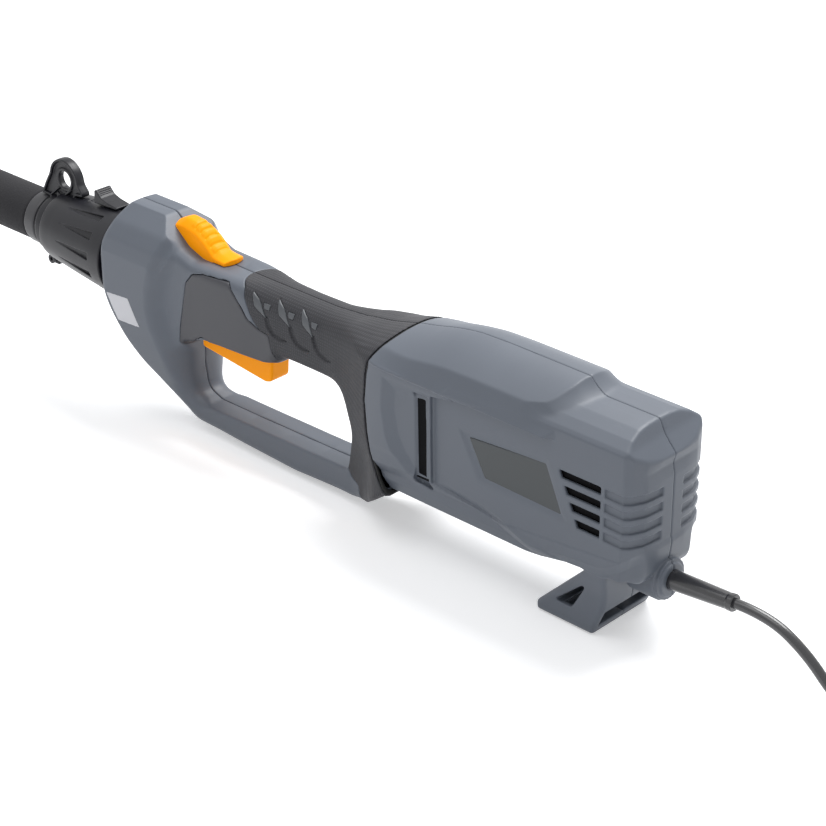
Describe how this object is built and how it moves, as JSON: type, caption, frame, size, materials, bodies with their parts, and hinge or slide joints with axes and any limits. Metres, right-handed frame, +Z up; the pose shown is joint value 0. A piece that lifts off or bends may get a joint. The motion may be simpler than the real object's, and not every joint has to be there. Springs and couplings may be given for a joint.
{
  "type": "pole hedge trimmer",
  "caption": "Electric hedge trimmer on a long pole: rear motor housing with loop handle and trigger, tube with drive shaft, tilting head with toothed reciprocating blades.",
  "frame": {"origin": "on the ground under the middle of the rear foot", "axes": "+X along the tool towards the cord, +Y to the user's right, +Z up"},
  "size_m": [2.2343, 0.172, 0.1722],
  "materials": {
    "housing": "fine moulded texture, satin",
    "soft_grip": "soft skin, matt",
    "orange": "moulded, satin",
    "black_plastic": "moulded, satin",
    "grey_plastic": "moulded, satin",
    "foam": "closed-cell foam, matt",
    "steel": "ground and oiled",
    "aluminium": "drawn and anodised",
    "cast_alloy": "die cast",
    "iron": "laminated, varnished",
    "copper": "enamelled winding wire",
    "brass": "drawn",
    "carbon": "pressed carbon",
    "cord_rubber": "smooth rubber sheath"
  },
  "bodies": {
    "power_unit": {"motor_shell_left": "housing", "motor_shell_right": "housing", "handle_shell_left": "housing", "handle_shell_right": "housing", "soft_grip": "soft_grip", "shell_screws": "steel", "trigger_pin": "steel", "trigger_spring": "steel", "trigger_switch": "black_plastic", "lock_off_spring": "steel", "stator_core": "iron", "field_coils": "copper", "ball_bearings": "steel", "gear_plate": "cast_alloy", "brush_holders": "brass", "carbon_brushes": "carbon", "suppressor_capacitor": "grey_plastic", "shaft_bushes": "grey_plastic", "pole_socket": "black_plastic", "strap_clamp": "black_plastic", "clamp_screw": "steel", "pole_tube": "aluminium", "pole_ferrule": "grey_plastic", "foam_grip": "foam", "pole_fork": "black_plastic", "tilt_bolts": "steel", "flexible_shaft": "steel", "cord_boot": "cord_rubber", "cord_clamp": "grey_plastic", "mains_cord": "cord_rubber", "mains_plug": "cord_rubber", "plug_pins": "brass"},
    "trigger": {"trigger": "orange"},
    "plunger": {"switch_plunger": "grey_plastic"},
    "lock_off": {"lock_off_button": "orange"},
    "rotor": {"armature_core": "iron", "armature_windings": "copper", "commutator": "copper", "motor_shaft": "steel", "cooling_fan": "black_plastic"},
    "drive_line": {"drive_gear": "steel", "drive_shaft": "steel", "coupling_sleeve": "steel", "pole_shaft": "steel"},
    "collar_body": {"collar": "black_plastic"},
    "slider": {"slider_lock": "black_plastic"},
    "knob": {"tilt_knob": "orange"},
    "head": {"gear_case_lower": "cast_alloy", "gear_case_upper": "housing", "head_bearings": "steel", "head_screws": "steel", "blade_bar": "steel", "blade_bolts": "steel", "tip_guard": "orange", "yoke_cover": "black_plastic"},
    "pinion": {"head_pinion": "steel"},
    "crank": {"crown_gear": "steel", "crank_shaft": "steel"},
    "blade_a": {"upper_blade": "steel"},
    "blade_b": {"lower_blade": "steel"}
  },
  "joints": [
    {"name": "trigger_pull", "type": "hinge", "parent": "power_unit", "child": "trigger", "pos_m": [-0.374, 0, 0.094], "axis": [0, -1, 0], "range_deg": [0, 5.5], "stiffness_Nm_per_rad": 3, "springref_deg": -2.86, "deforming": ["trigger_spring"]},
    {"name": "switch_press", "type": "slide", "parent": "power_unit", "child": "plunger", "axis": [0, 0, -1], "range_m": [0, 0.002]},
    {"name": "lock_off_slide", "type": "slide", "parent": "power_unit", "child": "lock_off", "axis": [1, 0, 0], "range_m": [0, 0.005], "stiffness_N_per_m": 300, "springref_m": -0.003, "deforming": ["lock_off_spring"]},
    {"name": "rotor_spin", "type": "hinge", "parent": "power_unit", "child": "rotor", "pos_m": [0, 0, 0.0977], "axis": [1, 0, 0], "continuous": true},
    {"name": "drive_spin", "type": "hinge", "parent": "power_unit", "child": "drive_line", "pos_m": [0, 0, 0.1157], "axis": [1, 0, 0], "continuous": true},
    {"name": "collar_turn", "type": "hinge", "parent": "power_unit", "child": "collar_body", "pos_m": [-0.5, 0, 0.1157], "axis": [1, 0, 0], "range_deg": [0, 60]},
    {"name": "slider_slide", "type": "slide", "parent": "collar_body", "child": "slider", "axis": [-1, 0, 0], "range_m": [0, 0.005], "stiffness_N_per_m": 400, "springref_m": -0.002},
    {"name": "tilt_knob_turn", "type": "hinge", "parent": "power_unit", "child": "knob", "pos_m": [-1.404, 0, 0.1157], "axis": [0, 1, 0], "continuous": true},
    {"name": "head_tilt", "type": "hinge", "parent": "power_unit", "child": "head", "pos_m": [-1.404, 0, 0.1157], "axis": [0, 1, 0], "range_deg": [-45, 60], "deforming": ["flexible_shaft"]},
    {"name": "pinion_spin", "type": "hinge", "parent": "head", "child": "pinion", "pos_m": [-1.404, 0, 0.1157], "axis": [0.9872, 0, 0.1597], "continuous": true},
    {"name": "crank_spin", "type": "hinge", "parent": "head", "child": "crank", "pos_m": [-1.49087, 0, 0.10164], "axis": [-0.1597, 0, 0.9872], "continuous": true},
    {"name": "upper_blade_slide", "type": "slide", "parent": "head", "child": "blade_a", "axis": [0.9872, 0, 0.1597], "range_m": [-0.005, 0.005]},
    {"name": "lower_blade_slide", "type": "slide", "parent": "head", "child": "blade_b", "axis": [0.9872, 0, 0.1597], "range_m": [-0.005, 0.005]}
  ],
  "couplings": [
    {"joint": "switch_press", "follows": "trigger_pull", "m_per_rad": 0.0208},
    {"joint": "drive_spin", "follows": "rotor_spin", "ratio": -0.38462},
    {"joint": "pinion_spin", "follows": "rotor_spin", "ratio": -0.38462},
    {"joint": "crank_spin", "follows": "rotor_spin", "ratio": -0.12821},
    {"joint": "lower_blade_slide", "follows": "upper_blade_slide", "ratio": -1}
  ]
}
